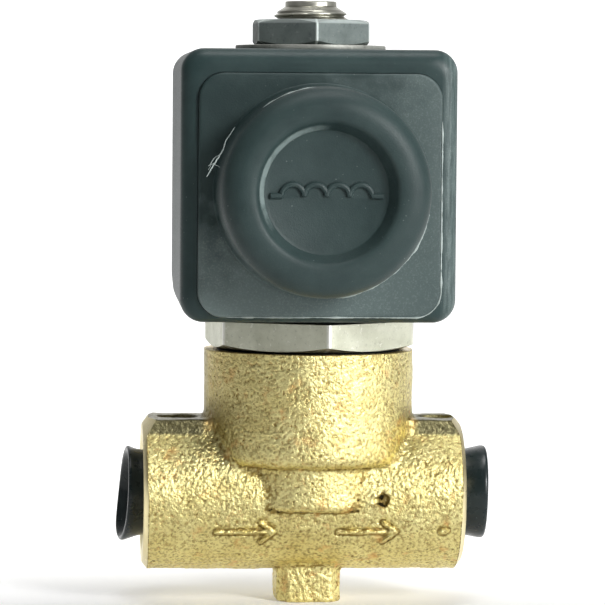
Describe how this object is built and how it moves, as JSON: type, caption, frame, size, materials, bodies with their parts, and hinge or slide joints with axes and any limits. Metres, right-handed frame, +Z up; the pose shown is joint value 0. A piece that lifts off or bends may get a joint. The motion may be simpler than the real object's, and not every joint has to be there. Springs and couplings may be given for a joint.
{
  "type": "solenoid valve",
  "caption": "Small two-way solenoid valve: forged brass body with threaded ports, hexagonal bonnet, square encapsulated coil held on its stud by a washer and a hexagonal nut.",
  "frame": {"origin": "centre of the base boss's end face, on the axis of the guide tube", "axes": "+Z up the guide tube, +X from the inlet port to the outlet port, -Y the front of the coil"},
  "size_m": [0.0502, 0.0581, 0.0807],
  "materials": {
    "forged_brass": "forged and shot-blasted, port faces turned",
    "bonnet_steel": "drawn hexagon bar, nickel plated",
    "seal_rubber": "moulded",
    "stainless": "turned",
    "stud_steel": "turned, with a rolled thread",
    "copper": "bare on the shading ring, enamelled on the winding",
    "spring_wire": "drawn wire",
    "coil_plastic": "moulded, fine matt grain",
    "bobbin_nylon": "moulded",
    "yoke_steel": "stamped and zinc plated",
    "terminal_tin": "stamped and tinned",
    "insert_brass": "turned",
    "washer_steel": "stamped and zinc plated",
    "nut_steel": "dark zinc plated",
    "plug_plastic": "soft vinyl"
  },
  "bodies": {
    "valve": {"valve_body": "forged_brass", "bonnet": "bonnet_steel", "bonnet_oring": "seal_rubber", "guide_tube": "stainless", "fixed_core": "stud_steel", "shading_ring": "copper", "return_spring": "spring_wire", "coil_gasket": "seal_rubber"},
    "armature": {"plunger": "stainless", "plunger_seal": "seal_rubber"},
    "coil": {"coil_housing": "coil_plastic", "front_panel": "coil_plastic", "bobbin": "bobbin_nylon", "winding": "copper", "yoke_frame": "yoke_steel", "flux_plate": "yoke_steel", "flux_sleeve_lower": "yoke_steel", "flux_sleeve_upper": "yoke_steel", "terminal_line": "terminal_tin", "terminal_neutral": "terminal_tin", "terminal_earth": "terminal_tin", "connector_insert": "insert_brass"},
    "nut": {"coil_nut": "nut_steel", "coil_washer": "washer_steel"},
    "plug_in": {"inlet_plug": "plug_plastic"},
    "plug_out": {"outlet_plug": "plug_plastic"}
  },
  "joints": [
    {"name": "plunger_lift", "type": "slide", "parent": "valve", "child": "armature", "axis": [0, 0, 1], "range_m": [0, 0.00195], "stiffness_N_per_m": 300, "springref_m": -0.005, "deforming": ["return_spring"]},
    {"name": "coil_swivel", "type": "hinge", "parent": "valve", "child": "coil", "pos_m": [0, 0, 0.05625], "axis": [0, 0, 1], "continuous": true},
    {"name": "coil_nut_turn", "type": "hinge", "parent": "valve", "child": "nut", "pos_m": [0, 0, 0.0748], "axis": [0, 0, 1], "continuous": true},
    {"name": "inlet_plug_pull", "type": "slide", "parent": "valve", "child": "plug_in", "axis": [-1, 0, 0], "range_m": [0, 0.06]},
    {"name": "outlet_plug_pull", "type": "slide", "parent": "valve", "child": "plug_out", "axis": [1, 0, 0], "range_m": [0, 0.06]}
  ]
}
